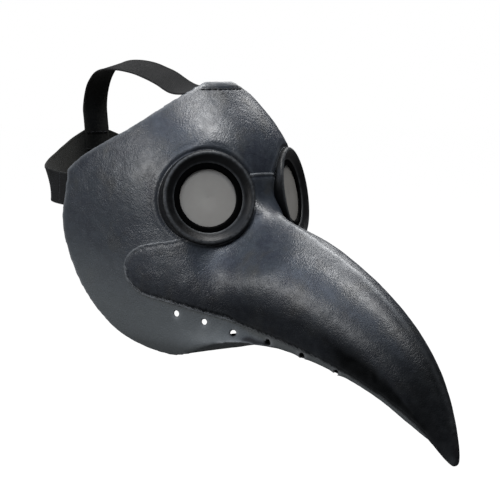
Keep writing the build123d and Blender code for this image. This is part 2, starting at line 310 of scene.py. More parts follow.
def lens_material():
    """Smoke-grey sheet lens, faintly cloudy, with light handling smears."""
    t = Tree("smoked_lens")
    place = t.millimetres()
    haze = t.noise(place, 0.05, 3.0)
    smear = t.noise(t.stretched(place, (1.0, 1.0, 3.0), (0.0, 0.5, 0.2)), 0.12, 3.0)
    colour = t.mix(t.ramp(haze, 0.3, 0.7), (0.315, 0.302, 0.282, 1), (0.355, 0.345, 0.322, 1))
    rough = t.ramp(smear, 0.35, 0.75, 0.10, 0.24)
    normal = t.bump(t.noise(place, 0.7, 2.0), 0.00003, 0.25)
    return t.finish(Base_Color=colour, Roughness=rough, Normal=normal, Alpha=0.93, Specular_IOR_Level=0.35)


WEFT_PITCH = 1.15            # of the weave along the elastic
RIB_PITCH = 1.5              # of the weave across it


def elastic_material():
    """Ribbed woven elastic; the weave follows the strap's own u and v in millimetres."""
    t = Tree("ribbed_elastic")
    uv = t.add("UVMap", {"uv_map": "strap"}).outputs[0]
    axes = t.add("SeparateXYZ", None, Vector=uv)
    along = axes.outputs[0]
    across = axes.outputs[1]
    weft = t.math("SINE", t.times(along, 2 * math.pi / WEFT_PITCH))
    rib = t.math("SINE", t.times(across, 2 * math.pi / RIB_PITCH))
    knit = t.times(weft, t.plus(t.times(rib, 0.5), 0.7))
    height = t.plus(t.times(knit, 0.35), t.times(t.noise(uv, 3.0, 3.0), 0.4))
    raised = t.ramp(height, -0.2, 0.6)
    outer = t.mix(raised, (0.003, 0.003, 0.003, 1), (0.009, 0.009, 0.0088, 1))
    inner = t.mix(raised, (0.008, 0.008, 0.007, 1), (0.023, 0.023, 0.018, 1))
    colour = t.mix(t.attribute("outer"), inner, outer)
    normal = t.bump(height, 0.00022, 0.8)
    return t.finish(
        Base_Color=colour, Roughness=0.82, Normal=normal, Specular_IOR_Level=0.2,
        Sheen_Weight=0.12, Sheen_Roughness=0.5,
    )


def thread_material():
    """Waxed black thread with its ply showing."""
    t = Tree("black_thread")
    place = t.millimetres()
    wave = t.add("TexWave", {"bands_direction": "DIAGONAL"}, Vector=place, Scale=1.6, Distortion=0.6)
    ply = wave.outputs[0]
    colour = t.mix(ply, (0.003, 0.003, 0.003, 1), (0.014, 0.014, 0.015, 1))
    return t.finish(Base_Color=colour, Roughness=0.55, Normal=t.bump(ply, 0.0001, 0.8))


def floor_material():
    """White to the camera, dull to everything else, so that it throws no light up under the mask."""
    t = Tree("white_floor")
    camera_ray = t.add("LightPath").outputs["Is Camera Ray"]
    glow = t.add("Emission", None, Strength=0.995).outputs[0]
    paint = t.add("BsdfDiffuse", None, Color=(0.06, 0.06, 0.06, 1)).outputs[0]
    seen = t.add("AddShader", None, i0=glow, i1=paint).outputs[0]
    dull = t.add("BsdfDiffuse", None, Color=(0.16, 0.16, 0.16, 1)).outputs[0]
    surface = t.add("MixShader", None, i0=camera_ray, i1=dull, i2=seen).outputs[0]
    t.links.new(surface, t.nodes["Material Output"].inputs["Surface"])
    t.nodes.remove(t.shader)
    return t.material


LEATHER = leather_material()
RING = ring_material()
RETAINER = retainer_material()
LENS = lens_material()
ELASTIC = elastic_material()
THREAD = thread_material()


# ---------------------------------------------------------------- mesh helpers
def new_object(name, points, faces, material):
    """Smooth mesh object from points in millimetres."""
    mesh = bpy.data.meshes.new(name)
    mesh.from_pydata([tuple(p * MM) for p in np.asarray(points, float)], [], [list(f) for f in faces])
    mesh.update()
    mesh.materials.append(material)
    piece = bpy.data.objects.new(name, mesh)
    bpy.context.scene.collection.objects.link(piece)
    mesh.polygons.foreach_set("use_smooth", [True] * len(mesh.polygons))
    return piece


def faces_outward(piece):
    """Makes all faces point outward and shades them smooth."""
    tool = bmesh.new()
    tool.from_mesh(piece.data)
    bmesh.ops.recalc_face_normals(tool, faces=tool.faces)
    tool.to_mesh(piece.data)
    tool.free()
    piece.data.polygons.foreach_set("use_smooth", [True] * len(piece.data.polygons))


def attach(piece, body, node):
    """Lets a finished piece ride on a body in place of a CAD node."""
    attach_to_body(piece, body)
    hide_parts(node)


def set_attribute(piece, name, values):
    """Per-vertex number that a material reads."""
    layer = piece.data.attributes.new(name, "FLOAT", "POINT")
    layer.data.foreach_set("value", np.asarray(values, np.float32))


def mesh_arrays(mesh):
    """Points in millimetres, edges and vertex normals of a mesh."""
    count = len(mesh.vertices)
    points = np.empty(count * 3)
    mesh.vertices.foreach_get("co", points)
    edges = np.empty(len(mesh.edges) * 2, int)
    mesh.edges.foreach_get("vertices", edges)
    normals = np.empty(count * 3)
    mesh.vertex_normals.foreach_get("vector", normals)
    return points.reshape(-1, 3) / MM, edges.reshape(-1, 2), normals.reshape(-1, 3)


def store_points(mesh, points):
    """Moves the vertices of a mesh to points in millimetres."""
    mesh.vertices.foreach_set("co", (points * MM).ravel())
    mesh.update()


class Net:
    """Neighbour averages over a mesh."""

    def __init__(self, edges, count):
        self.start = np.concatenate([edges[:, 0], edges[:, 1]])
        self.end = np.concatenate([edges[:, 1], edges[:, 0]])
        self.count = count
        self.degree = np.maximum(np.bincount(self.start, minlength=count), 1)

    def average(self, values):
        if values.ndim == 1:
            return np.bincount(self.start, values[self.end], self.count) / self.degree
        return np.stack([self.average(values[:, axis]) for axis in range(values.shape[1])], axis=1)

    def spread(self, values, steps):
        """Averages several times over."""
        for _ in range(steps):
            values = self.average(values)
        return values

    def widest(self, values, steps):
        """Each vertex takes the highest value within some steps."""
        for _ in range(steps):
            grown = values.copy()
            np.maximum.at(grown, self.start, values[self.end])
            values = grown
        return values

    def nearness(self, seeds, steps):
        """1 at the seeds, falling evenly to 0 over some steps."""
        values = seeds.copy()
        for _ in range(steps):
            grown = values.copy()
            np.maximum.at(grown, self.start, values[self.end] - 1 / steps)
            values = grown
        return values


def remeshed(node, name):
    """Even, dense copy of a CAD node."""
    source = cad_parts[node]
    copy = bpy.data.objects.new(name, source.data.copy())
    bpy.context.scene.collection.objects.link(copy)
    copy.data.materials.clear()
    tool = bmesh.new()
    tool.from_mesh(copy.data)
    bmesh.ops.remove_doubles(tool, verts=tool.verts, dist=1e-6)
    tool.to_mesh(copy.data)
    tool.free()
    modifier = copy.modifiers.new("grid", "REMESH")
    modifier.mode = "VOXEL"
    modifier.voxel_size = VOXEL * MM
    bpy.context.view_layer.update()
    mesh = bpy.data.meshes.new_from_object(copy.evaluated_get(bpy.context.evaluated_depsgraph_get()))
    copy.modifiers.clear()
    copy.data = mesh
    mesh.materials.clear()
    mesh.polygons.foreach_set("use_smooth", [True] * len(mesh.polygons))
    return copy


def rim_mask(net, normals):
    """1 near sharp turns of the surface such as free edges, 0 on smooth skin."""
    spread = net.spread(normals, 4)
    sharp = (np.linalg.norm(spread, axis=1) < 0.80).astype(float)
    return net.widest(sharp, RIM_STEPS)


def faired(points, net, pinned, rounds):
    """Smoothing that shrinks nothing: each step in is followed by a slightly longer step out."""
    free = (1 - pinned)[:, None]
    for _ in range(rounds):
        points = points + 0.5 * free * (net.average(points) - points)
        points = points - 0.53 * free * (net.average(points) - points)
    return points


def smooth_noise(points, size, seed):
    """Value noise in -1..1 with features of about size millimetres."""
    random = np.random.default_rng(seed)
    low = points.min(0) - size
    shape = np.ceil((points.max(0) + size - low) / size).astype(int) + 2
    grid = random.uniform(-1, 1, shape)
    place = (points - low) / size
    cell = np.floor(place).astype(int)
    part = place - cell
    part = part * part * (3 - 2 * part)
    total = np.zeros(len(points))
    for corner in range(8):
        step = np.array([corner & 1, corner >> 1 & 1, corner >> 2 & 1])
        weight = np.prod(np.where(step, part, 1 - part), axis=1)
        index = cell + step
        total += weight * grid[index[:, 0], index[:, 1], index[:, 2]]
    return total


def rise(value, start, end):
    """0 up to start, 1 from end on, even in between; start may be above end."""
    return np.clip((value - start) / (end - start), 0, 1)


def bump_curve(distance, width):
    """1 at distance 0, falling off over width."""
    return np.exp(-((distance / width) ** 2))


def eye_distance(points, side):
    """Distance from the line of sight and height in front of the lens face."""
    centre, sight = EYES[side]
    offset = points - centre
    height = offset @ sight
    return np.linalg.norm(offset - height[:, None] * sight, axis=1), height


def eye_basis(side):
    """Centre of a lens face, its level and upright directions and the line of sight."""
    centre, sight = EYES[side]
    level = np.cross([0.0, 0.0, 1.0], sight)
    level /= np.linalg.norm(level)
    return centre, level, np.cross(sight, level), sight


def bvh(piece):
    """Ray-cast tree of a piece, in millimetres."""
    points, _, _ = mesh_arrays(piece.data)
    faces = [tuple(f.vertices) for f in piece.data.polygons]
    return BVHTree.FromPolygons([Vector(p) for p in points], faces)


def heights_above(spot, sight, trees, start, reach):
    """Heights in front of spot at which a ray from start, looking back along sight, meets each tree."""
    distances = [tree.ray_cast(Vector(spot + sight * start), Vector(-sight), reach)[3] for tree in trees]
    return [start - distance for distance in distances if distance is not None]


def seat_drops(side, trees):
    """How far the leather has to come down to meet the ring, at even bearings all round it."""
    centre, level, up, sight = eye_basis(side)
    drops = []
    for turn in np.arange(SEAT_BEARINGS) * 2 * math.pi / SEAT_BEARINGS:
        spot = centre + SEAT_PROBE_RADIUS * (math.cos(turn) * level + math.sin(turn) * up)
        drops.append(max(heights_above(spot, sight, trees, 45, 60), default=0) - RING_SEAT_HEIGHT)
    drops = np.clip(drops, 0, None)
    for _ in range(SEAT_BLUR):
        drops = (np.roll(drops, 1) + 2 * drops + np.roll(drops, -1)) / 4
    return drops


SHELL_TREES = [bvh(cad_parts[node]) for node in ("face_shell", "beak_shell")]
SEAT_DROPS = {side: seat_drops(side, SHELL_TREES) for side in EYES}


def pressed_under_rings(points, inside):
    """Leather lowered to the foot of the eye rings, fading out away from them."""
    for side in EYES:
        centre, level, up, sight = eye_basis(side)
        offset = points - centre
        radius, height = eye_distance(points, side)
        bearing = np.arctan2(offset @ up, offset @ level) / (2 * math.pi) * SEAT_BEARINGS
        drops = np.append(SEAT_DROPS[side], SEAT_DROPS[side][0])
        drop = np.interp(bearing % SEAT_BEARINGS, np.arange(SEAT_BEARINGS + 1), drops)
        over = np.clip(height - RING_SEAT_HEIGHT + WALL * inside, 0, None)
        soft = over * over / (over + PRESS_SOFTNESS)
        away = rise(radius, SEAT_PROBE_RADIUS, SEAT_PROBE_RADIUS + PRESS_REACH)
        fade = (1 - away) ** 2 * (1 + 2 * away) * (radius > RING_HOLE_RADIUS)
        points = points - (fade * np.minimum(drop, soft))[:, None] * sight
    return points


def rims_evened(points, net):
    """Takes the grid steps out of the free edges by averaging along them."""
    for _ in range(RIM_ROUNDS):
        bend = np.linalg.norm(net.average(points) - points, axis=1)
        pull = 0.03 + 0.97 * np.clip(net.average(bend) / 0.15, 0, 1) ** 2
        mean = net.average(points * pull[:, None]) / net.average(pull)[:, None]
        points = points + 0.5 * pull[:, None] * (mean - points)
    return points


# ---------------------------------------------------------------- leather shells
def shell_piece(node, name, rounds, middle):
    """Fine, faired copy of a leather shell, with its free edges and its inner skin marked."""
    piece = remeshed(node, name)
    points, edges, _ = mesh_arrays(piece.data)
    net = Net(edges, len(points))
    points = faired(points, net, np.zeros(len(points)), FIRST_ROUNDS)
    points = rims_evened(points, net)
    store_points(piece.data, points)
    rim = rim_mask(net, mesh_arrays(piece.data)[2])
    soft_rim = 0.85 * net.spread(rim, 3)
    points = faired(points, net, soft_rim, rounds)
    store_points(piece.data, points)
    points, _, normals = mesh_arrays(piece.data)
    outward = ((points - middle(points)) * normals).sum(1)
    inside = net.spread((outward < 0).astype(float), 2)
    points = pressed_under_rings(points, inside)
    points = faired(points, net, soft_rim, LAST_ROUNDS)
    return piece, points, net, rim, inside


def softened(piece, points, net, rim, where, rounds):
    """Plain smoothing of the places marked by where, away from the free edges."""
    pull = (0.5 * (1 - 0.9 * net.spread(rim, 3)) * where)[:, None]
    for _ in range(rounds):
        points = points + pull * (net.average(points) - points)
    store_points(piece.data, points)
    points, _, normals = mesh_arrays(piece.data)
    return points, normals


def beside_ring(points, side):
    """Distance from the line of sight, and 1 for the leather at the height of a ring."""
    radius, height = eye_distance(points, side)
    return radius, (height > -25) & (height < 20) & (radius > 33)


def face_middle(points):
    """Point well inside the head for each vertex, or above the strip for those under the beak."""
    middle = np.zeros_like(points)
    middle[:, 1] = np.maximum(points[:, 1] * 0.2 + 60, 0)
    middle[:, 2] = np.clip(points[:, 2], -60, 40)
    strip = (points[:, 1] < -18) & (points[:, 2] < -70)
    middle[strip, 1] = points[strip, 1] - 8
    middle[strip, 2] = points[strip, 2] + 35
    return middle


def beak_middle(points):
    """Point inside the beak, level with each vertex."""
    middle = np.zeros_like(points)
    share = np.clip((30 - points[:, 1]) / 240, 0, 1)
    middle[:, 1] = points[:, 1] + 22 * (1 - share)
    middle[:, 2] = -40 - 25 * share - 95 * share**2
    return middle


def add_relief(piece, points, normals, amounts):
    """Moves vertices along their normals by amounts in millimetres."""
    store_points(piece.data, points + normals * amounts[:, None])
    points, _, normals = mesh_arrays(piece.data)
    return points, normals


def shell_attributes(piece, net, points, normals, inside, rim, painted_light_tone, painted_highlight, painted_fill_light):
    """Writes the wear and painted highlight, the painted shade, the inside and the painted fill light for
    the leather material.
    """
    outer = 1 - inside
    curvature = net.spread(((net.average(points) - points) * normals).sum(1), 2)
    ridge = np.clip(net.spread(-curvature, 1) * 9, 0, 1)
    edge_light = net.spread(rim, 3) * np.clip(-curvature * 30 + 0.3, 0, 1)
    # painted shade: concave places are darkened
    hollow = np.clip(curvature * 8, 0, 1) * outer
    # wear on ridges and free edges, plus the painted highlight along the beak's spine
    set_attribute(piece, "wear_and_highlight", np.clip((0.35 * ridge + edge_light + painted_highlight) * outer, 0, 1))
    set_attribute(piece, "painted_light_tone", np.clip(painted_light_tone - 0.8 * net.spread(hollow, 2), 0, 1))
    set_attribute(piece, "inside", inside)
    set_attribute(piece, "painted_fill_light", painted_fill_light * outer)


def build_face():
    """Forehead, cheeks and chin, with the hem and the stitch groove of the forehead."""
    piece, points, net, rim, inside = shell_piece("face_shell", "face_leather", FACE_ROUNDS, face_middle)
    chin = rise(points[:, 2], -70, -85) * rise(points[:, 1], 50, 30)
    points, normals = softened(piece, points, net, rim, chin, CHIN_ROUNDS)
    amounts = 0.16 * smooth_noise(points, 11, 1) + 0.07 * smooth_noise(points, 4, 2)
    for side in EYES:
        radius, near = beside_ring(points, side)
        amounts -= near * bump_curve(radius - LIP_GROOVE_RADIUS, 0.9) * 0.8
        amounts += near * bump_curve(radius - LIP_GROOVE_RADIUS - 2.6, 1.6) * 0.35
    across = rise(np.abs(points[:, 0]), HEM_HALF_WIDTH, HEM_HALF_WIDTH - 5)
    groove = bump_curve(points[:, 2] - FOREHEAD_SEAM_Z, 1.3) * across
    hem = rise(points[:, 2], FOREHEAD_SEAM_Z + 1.2, FOREHEAD_SEAM_Z + 2.4) * across
    amounts += (0.3 * hem - 0.35 * groove) * (points[:, 1] < 60)
    points, normals = add_relief(piece, points, normals, amounts * (1 - inside))
    # darker over the hem across the top of the forehead; painted shade in the hollows is taken off later
    painted_light_tone = np.clip(1.15 - 0.5 * rise(points[:, 2], 70, 95) * across, 0, 1)
    # painted fill light, full on the lower cheeks and chin and weaker at the rear
    rear = rise(points[:, 1], 60, 130) * rise(points[:, 2], 20, -40)
    painted_fill_light = np.clip(rise(points[:, 2], -35, -90) + 0.35 * rear, 0, 1)
    shell_attributes(piece, net, points, normals, inside, rim, painted_light_tone, 0, painted_fill_light)
    piece.data.materials.append(LEATHER)
    attach(piece, "shell", "face_shell")
    return piece


def build_beak():
    """Beak and bridge, with painted shade below and towards the tip, an edge groove and a raised spine with
    a painted highlight along it.
    """
    piece, points, net, rim, inside = shell_piece("beak_shell", "beak_leather", BEAK_ROUNDS, beak_middle)
    bridge = np.exp(-((points[:, 0] / 24) ** 2) - ((points[:, 2] + 5) / 13) ** 2)
    root = 0.5 * rise(points[:, 1], -130, -90)
    belly = np.exp(-((np.abs(points) - BELLY_START) ** 2).sum(1) / BELLY_REACH**2)
    places = np.clip(root + bridge + belly, 0, 1)
    points, normals = softened(piece, points, net, rim, places, BRIDGE_ROUNDS)
    amounts = 0.16 * smooth_noise(points, 12, 3) + 0.08 * smooth_noise(points, 4.5, 4)
    for side in EYES:
        radius, near = beside_ring(points, side)
        amounts -= near * bump_curve(radius - LIP_GROOVE_RADIUS, 0.9) * 0.8
    from_rim = EDGE_STEPS * VOXEL * (1 - net.spread(net.nearness(rim, EDGE_STEPS), 1))
    amounts -= 0.75 * bump_curve(from_rim - EDGE_GROOVE, 0.8)
    spine = bump_curve(points[:, 0], 2.6) * (normals[:, 2] > 0.25) * rise(points[:, 1], -28, -43)
    amounts += 0.35 * spine
    points, normals = add_relief(piece, points, normals, amounts * (1 - inside))
    forward = rise(points[:, 1], -20, -210)
    ridge_z = 5 - 45 * forward - 130 * forward**2.4
    depth = np.clip((ridge_z - points[:, 2]) / (88 - 62 * forward), 0, 1)
    # painted shade on the lower sides of the beak and towards its tip
    shade = 0.75 * rise(depth, 0.62, 1.02) + 0.95 * rise(forward, 0.45, 0.90)
    painted_light_tone = np.clip(1.0 - shade, 0.02, 1)
    # painted highlight along the spine, fading out towards the tip
    painted_highlight = 0.8 * spine * rise(forward, 0.80, 0.55)
    shell_attributes(piece, net, points, normals, inside, rim, painted_light_tone, painted_highlight, np.zeros(len(points)))
    piece.data.materials.append(LEATHER)
    attach(piece, "shell", "beak_shell")
    return piece


# ---------------------------------------------------------------- eye pieces
def turned(side, name, profile, material, floor=None):
    """Closed ring lathed about a line of sight from (radius, height) pairs; floor fills in height None."""
    centre, level, upright, sight = eye_basis(side)
    count = len(profile)
    points = []
    faces = []
    for index in range(RING_SEGMENTS):
        angle = 2 * math.pi * index / RING_SEGMENTS
        out = level * math.cos(angle) + upright * math.sin(angle)
        here, there = index * count, (index + 1) % RING_SEGMENTS * count
        for number, (radius, height) in enumerate(profile):
            points.append(centre + out * radius + sight * (floor[index] if height is None else height))
            other = (number + 1) % count
            faces.append((here + number, there + number, there + other, here + other))
    piece = new_object(name, points, faces, material)
    faces_outward(piece)
    return piece


def rounded(corners, radius, steps=5):
    """Closed (radius, height) outline with each corner rounded."""
    result = []
    count = len(corners)
    for index, corner in enumerate(corners):
        corner = np.array(corner, float)
        before = np.array(corners[index - 1], float) - corner
        after = np.array(corners[(index + 1) % count], float) - corner
        reach = min(radius, 0.45 * np.linalg.norm(before), 0.45 * np.linalg.norm(after))
        start = corner + before / np.linalg.norm(before) * reach
        end = corner + after / np.linalg.norm(after) * reach
        for step in range(steps + 1):
            share = step / steps
            point = (1 - share) ** 2 * start + 2 * share * (1 - share) * corner + share**2 * end
            result.append(tuple(point))
    return result


# Profiles about the line of sight: distance from it and height in front of the lens face.
RING_FUNNEL = [
    (25.6, -2.4), (26.75, -1.9), (26.75, 1.8), (27.0, 2.15), (27.5, 2.4),
    (28.6, 2.8), (30.0, 3.45), (31.2, 4.15), (32.1, 4.85), (32.7, 5.3),
]
RING_LIP = [
    (33.3, 5.65), (34.0, 5.8), (34.7, 5.7), (35.4, 5.35), (35.95, 4.8), (36.3, 4.0), (RING_RADIUS, 3.1),
]
RING_FOOT = [(RING_RADIUS, 2.0), (RING_RADIUS, None), (33.5, None), (29.0, -4.5), (25.6, -4.5)]
RETAINER_CORNERS = [(21.95, 0.15), (26.6, 0.15), (26.6, 1.85), (23.2, 1.85), (22.0, 1.0)]
LENS_CORNERS = [(0.0, -1.8), (LENS_RADIUS, -1.8), (LENS_RADIUS, 0.0), (0.0, 0.0)]


def ring_floor(side, trees):
    """Height at which the wall of a ring ends, just under the leather, for every segment."""
    centre, level, upright, sight = eye_basis(side)
    heights = []
    for index in range(RING_SEGMENTS):
        angle = 2 * math.pi * index / RING_SEGMENTS
        out = level * math.cos(angle) + upright * math.sin(angle)
        spot = centre + out * (RING_RADIUS + 0.3)
        heights.append(max(heights_above(spot, sight, trees, 40, 80), default=-10.0))
    heights = np.array(heights)
    for _ in range(3):
        heights = (heights + np.roll(heights, 1) + np.roll(heights, -1)) / 3
    return heights - 0.8


def build_eye(side, trees):
    """Ring, black retainer and lens of one eye."""
    profile = RING_FUNNEL + RING_LIP + RING_FOOT
    ring = turned(side, f"eye_ring_{side}", profile, RING, ring_floor(side, trees))
    radius, height = eye_distance(mesh_arrays(ring.data)[0], side)
    # painted highlight with wear: a lighter crest on the lip and a lighter inner edge, all round
    crest = bump_curve(radius - 34.6, 1.2) * (height > 4.8)
    inner = bump_curve(height - 2.2, 0.5) * bump_curve(radius - 27.1, 0.7)
    set_attribute(ring, "wear_and_highlight", np.clip(crest + 0.8 * inner, 0, 1))
    attach(ring, "shell", f"eye_bezel_{side}")

    retainer = turned(side, f"lens_ring_{side}", rounded(RETAINER_CORNERS, 0.45), RETAINER)
    attach(retainer, "shell", f"lens_retainer_{side}")

    disc = [(max(radius, 0.02), height) for radius, height in rounded(LENS_CORNERS, 0.3)]
    glass = turned(side, f"lens_disc_{side}", disc, LENS)
    attach(glass, "shell", f"lens_{side}")


# ---------------------------------------------------------------- straps
def catmull(points, share):
    """Point on a smooth curve through points, share 0..1 by point number."""
    points = np.asarray(points, float)
    place = share * (len(points) - 1)
    index = min(int(place), len(points) - 2)
    part = place - index
    before = points[max(index - 1, 0)]
    start, end = points[index], points[index + 1]
    after = points[min(index + 2, len(points) - 1)]
    return 0.5 * (
        2 * start + (end - before) * part + (2 * before - 5 * start + 4 * end - after) * part**2
        + (3 * start - before - 3 * end + after) * part**3
    )


def resampled(stations, spacing):
    """Stations at an even spacing, and how far along each one is."""
    fine = np.array([catmull(stations, s) for s in np.linspace(0, 1, 40 * len(stations))])
    travel = np.concatenate([[0], np.cumsum(np.linalg.norm(np.diff(fine[:, :3], axis=0), axis=1))])
    count = max(int(travel[-1] / spacing), 4)
    marks = np.linspace(0, travel[-1], count + 1)
    even = np.stack([np.interp(marks, travel, fine[:, axis]) for axis in range(fine.shape[1])], axis=1)
    return even, marks


WEAVE_OFFSET = 40.0          # keeps the weave coordinate across a strap positive


def rib_profile():
    """Closed cross-section of the elastic as (across, out) pairs: ribbed faces, rounded edges."""
    half = STRAP_WIDTH / 2
    thick = STRAP_THICKNESS / 2
    top = []
    samples = RIBS * 4
    for step in range(samples + 1):
        across = -half + 0.6 + (STRAP_WIDTH - 1.2) * step / samples
        rib = 0.5 - 0.5 * math.cos(2 * math.pi * RIBS * step / samples)
        selvedge = 0.16 if abs(across) > half - 2.0 else 0.0
        top.append((across, thick - 0.22 + 0.2 * rib + selvedge))
    edge = [(half - 0.25, thick * 0.6), (half, 0.0), (half - 0.25, -thick * 0.6)]
    bottom = [(across, -out) for across, out in reversed(top)]
    left = [(-across, -out) for across, out in edge]
    return top + edge + bottom + left


def build_strap(name, stations, along_start):
    """Ribbed strap through (centre x, y, z, width direction x, y, z) stations, with weave coordinates."""
    places, marks = resampled(stations, 1.0)
    profile = rib_profile()
    count = len(profile)
    rows = len(places)
    centres = places[:, :3]
    widths = places[:, 3:]
    tangents = np.gradient(centres, axis=0)
    tangents /= np.linalg.norm(tangents, axis=1)[:, None]
    widths = widths - tangents * (widths * tangents).sum(1)[:, None]
    widths /= np.linalg.norm(widths, axis=1)[:, None]
    outs = np.cross(tangents, widths)
    points = []
    for centre, wide, out, mark in zip(centres, widths, outs, marks):
        wave = 0.05 * math.sin(mark / 7.0) + 0.03 * math.sin(mark / 2.9 + 1)
        breadth = 1 + 0.004 * math.sin(mark / 3.1)
        for across, lift in profile:
            points.append(centre + wide * across * breadth + out * (lift + wave))
    faces = []
    for row in range(rows - 1):
        here, there = row * count, (row + 1) * count
        for number in range(count):
            other = (number + 1) % count
            faces.append((here + number, here + other, there + other, there + number))
    faces.append(tuple(range(count)))
    faces.append(tuple((rows - 1) * count + number for number in reversed(range(count))))
    piece = new_object(name, points, faces, ELASTIC)
    faces_outward(piece)
    layer = piece.data.uv_layers.new(name="strap")
    for loop in piece.data.loops:
        row, number = divmod(loop.vertex_index, count)
        layer.data[loop.index].uv = (along_start + marks[row], profile[number][0] + WEAVE_OFFSET)
    outer = np.array([1.0 if lift > 0 else 0.0 for _, lift in profile])
    return piece, np.tile(outer, rows), along_start + marks[-1]


# Stations of the straps: centre x, y, z and width direction x, y, z. The right half of the back
# strap runs from inside the temple to the middle of the back of the head.
BACK_STRAP = [
    (-76.9, 84, 3.0, 0, 0, 1), (-78.7, 97, 3.0, 0, 0, 1), (-79.8, 111, 3.0, 0, 0, 1),
    (-80.2, 126, 3.3, 0, 0.02, 1), (-79.6, 138, 4.2, 0, 0.12, 1), (-77.5, 148, 5.8, 0.05, 0.33, 0.94),
    (-71, 157, 8.5, 0, 0.35, 0.93), (-60, 166, 13, -0.2, 0.15, 0.95), (-45, 174, 19, -0.2, 0.05, 0.96),
    (-25, 181, 28, -0.25, 0, 0.96), (-10, 184.3, 34, -0.15, 0, 0.98), (0, 185, 37, 0, 0, 1),
]
TOP_STRAP = [
    (0, 24, 71.5, 1, 0, 0), (0, 32, 80, 1, 0, 0), (0, 40, 83.2, 1, 0, 0.04), (0, 52, 81.5, 1, 0, 0.12),
    (0, 66, 80.6, 1, 0, 0.22), (0, 80, 83, 1, 0, 0.32), (0, 96, 89.9, 1, 0, 0.36),
    (0, 110, 94.6, 1, 0, 0.36), (0, 125, 98.4, 1, 0, 0.35), (0, 143, 100.5, 1, 0, 0.32),
    (0, 158, 100, 1, 0, 0.26), (0, 170, 96.6, 1, 0, 0.2), (0, 178.5, 88.5, 1, 0, 0.15),
    (0, 183.2, 78, 1, 0, 0.12), (0, 185.2, 66, 1, 0, 0.08), (0, 184.4, 56, 1, 0, 0.03),
    (0, 183.3, 47, 1, 0, 0), (0, 183.1, 37, 1, 0, 0), (0, 183.1, 26, 1, 0, 0),
]
BACK_SPLIT_Y = 134.0         # where the back strap's pieces meet, behind the temple bend
TOP_SPLIT_Y = 125.0          # where the top strap's pieces meet


def split_stations(stations, limit_y):
    """Stations before and after the first crossing of limit_y, sharing one station there."""
    fine = np.array([catmull(stations, s) for s in np.linspace(0, 1, 12 * len(stations))])
    cut = int(np.argmax(fine[:, 1] >= limit_y))
    share = (limit_y - fine[cut - 1, 1]) / (fine[cut, 1] - fine[cut - 1, 1])
    middle = fine[cut - 1] + share * (fine[cut] - fine[cut - 1])
    return np.vstack([fine[:cut], middle]), np.vstack([middle, fine[cut:]])


def mirror_stations(stations):
    """The same strap on the other side; the width keeps pointing up."""
    return np.asarray(stations) * np.array([-1, 1, 1, -1, 1, 1])


def finish_strap(piece, outer, nodes):
    """Marks the outer face, bakes the piece's placement into its mesh and hides the CAD nodes it stands in
    for.
    """
    set_attribute(piece, "outer", outer)
    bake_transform(piece)
    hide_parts(*nodes)


def build_straps():
    """Back strap in three pieces and top strap in two, which meet where the harness bends and stretches."""
    front, rear = split_stations(BACK_STRAP, BACK_SPLIT_Y)
    for side, stations in (("right", front), ("left", mirror_stations(front))):
        piece, outer, lead = build_strap(f"side_elastic_{side}", stations, 0.0)
        if side == "right":
            outer = 1 - outer
        nodes = (f"strap_anchor_{side}", f"strap_side_{side}")
        finish_strap(piece, outer, nodes)

    loop = np.vstack([rear, mirror_stations(rear)[::-1][1:]])
    piece, outer, _ = build_strap("rear_elastic", loop, lead)
    finish_strap(piece, 1 - outer, ("strap_rear",))

    front, rear = split_stations(TOP_STRAP, TOP_SPLIT_Y)
    piece, outer, lead = build_strap("top_elastic_front", front, 0.0)
    finish_strap(piece, 1 - outer, ("top_strap_front",))
    piece, outer, _ = build_strap("top_elastic_rear", rear, lead)
    finish_strap(piece, 1 - outer, ("top_strap_rear",))


# ---------------------------------------------------------------- thread
THREAD_RADIUS = 0.46
THREAD_SIDES = 12
THREAD_RINGS = 22            # cross-sections along one stitch
STITCH_LENGTH = 3.4
JUNCTION_STITCHES = 5        # in each of the two rows
JUNCTION_PITCH = 4.5
JUNCTION_LENGTH = 2.9


def tube(path, radius):
    """Points and faces of a round closed tube along a path."""
    path = np.asarray(path, float)
    tangents = np.gradient(path, axis=0)
    tangents /= np.linalg.norm(tangents, axis=1)[:, None]
    helper = np.array([0.31, 0.22, 0.92])
    points = []
    for centre, along in zip(path, tangents):
        side = np.cross(along, helper)
        side /= np.linalg.norm(side)
        up = np.cross(side, along)
        for step in range(THREAD_SIDES):
            angle = 2 * math.pi * step / THREAD_SIDES
            points.append(centre + radius * (math.cos(angle) * side + math.sin(angle) * up))
    faces = []
    for row in range(len(path) - 1):
        for step in range(THREAD_SIDES):
            after = (step + 1) % THREAD_SIDES
            low, high = row * THREAD_SIDES, (row + 1) * THREAD_SIDES
            faces.append((low + step, low + after, high + after, high + step))
    faces.append(tuple(reversed(range(THREAD_SIDES))))
    faces.append(tuple((len(path) - 1) * THREAD_SIDES + step for step in range(THREAD_SIDES)))
    return points, faces


def thread_piece(name, stitches, body, node):
    """One mesh of many stitches; each is (centre, along, outward, length)."""
    points, faces = [], []
    for centre, along, out, length in stitches:
        centre, along, out = (np.asarray(v, float) for v in (centre, along, out))
        half = length / 2
        shape = [(-half - 0.35, -0.9), (-half - 0.2, -0.3), (-half + 0.25, 0.22), (-half / 3, 0.36)]
        shape += [(half / 3, 0.36), (half - 0.25, 0.22), (half + 0.2, -0.3), (half + 0.35, -0.9)]
        lane = rng.uniform(-0.12, 0.12)
        corners = [centre + along * a + out * h for a, h in shape]
        sideways = np.cross(along, out) * lane
        path = []
        for share in np.linspace(0, 1, THREAD_RINGS):
            path.append(catmull(corners, share) + sideways * math.sin(math.pi * share))
        new_points, new_faces = tube(path, THREAD_RADIUS)
        faces += [[index + len(points) for index in face] for face in new_faces]
        points += new_points
    piece = new_object(name, points, faces, THREAD)
    attach(piece, body, node)


